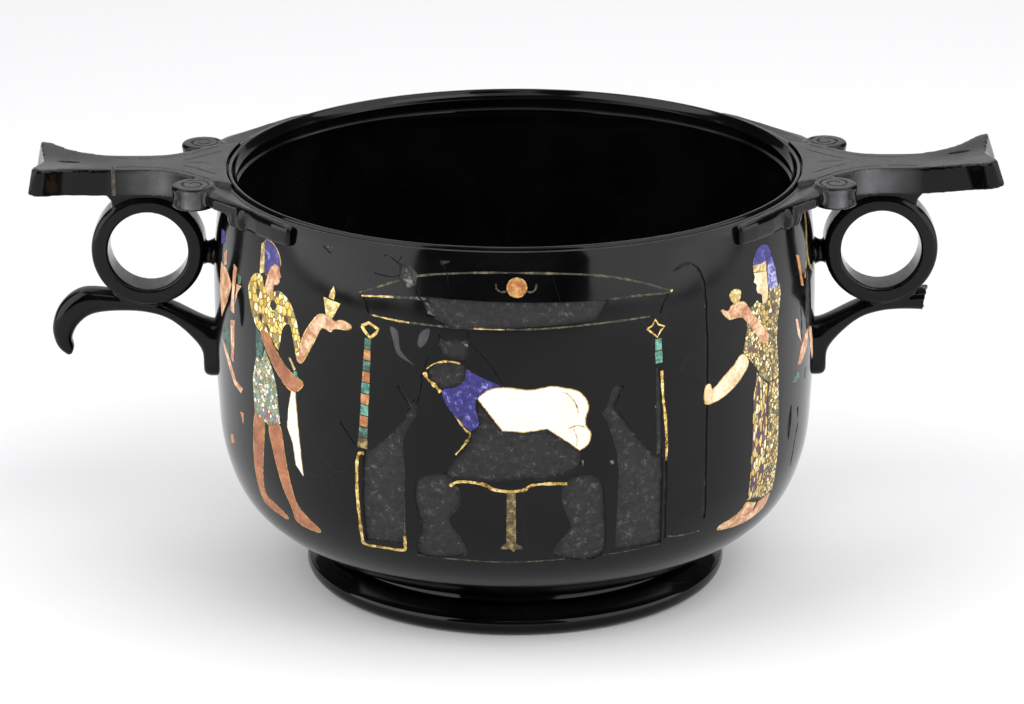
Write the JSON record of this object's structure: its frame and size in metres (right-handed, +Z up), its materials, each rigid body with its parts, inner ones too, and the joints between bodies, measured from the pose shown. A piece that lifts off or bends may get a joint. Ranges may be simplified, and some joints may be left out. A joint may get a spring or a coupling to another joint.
{
  "type": "obsidian skyphos",
  "caption": "Two-handled stone drinking cup on a ring foot, with ring handles under flat plates and an inlaid shrine scene of gold wire and coloured stones.",
  "frame": {"origin": "centre of the foot's underside", "axes": "+Z up out of the bowl, X along the two handles, -Y toward the shrine picture"},
  "size_m": [0.295, 0.1866, 0.1362],
  "materials": {
    "obsidian": "polished",
    "gold": "satin",
    "lapis": "satin",
    "white_stone": "satin",
    "coral": "satin",
    "pale_coral": "satin",
    "green_stone": "satin",
    "gold_mosaic": "satin",
    "orange_stone": "satin",
    "dark_paste": "matt"
  },
  "bodies": {
    "root": {"cup": "obsidian", "sun_disc": "orange_stone", "left_capital": "gold", "right_capital": "gold", "left_column": "green_stone", "right_column": "green_stone", "left_frame_wire": "gold", "right_frame_wire": "gold", "calf_body": "white_stone", "calf_neck": "lapis", "stand_wire": "gold", "stand_leg": "dark_paste", "left_figure_face": "pale_coral", "left_figure_wig": "lapis", "left_figure_lowered_arm": "coral", "left_figure_raised_arm": "pale_coral", "left_figure_cup": "gold", "left_figure_tunic": "gold_mosaic", "left_figure_sash": "white_stone", "left_figure_kilt": "green_stone", "left_figure_back_leg": "coral", "left_figure_front_leg": "coral", "right_figure_face": "pale_coral", "right_figure_wig": "lapis", "right_figure_raised_arm": "coral", "right_figure_cup": "gold", "right_figure_forearm": "white_stone", "right_figure_dress": "gold_mosaic", "right_figure_feet": "pale_coral", "far_left_shoulder": "gold_mosaic", "far_left_arm": "pale_coral", "far_left_foot": "coral", "far_right_band": "gold", "far_right_legs": "coral", "back_sun_disc": "orange_stone", "back_left_column": "green_stone", "back_right_column": "green_stone"}
  },
  "joints": []
}
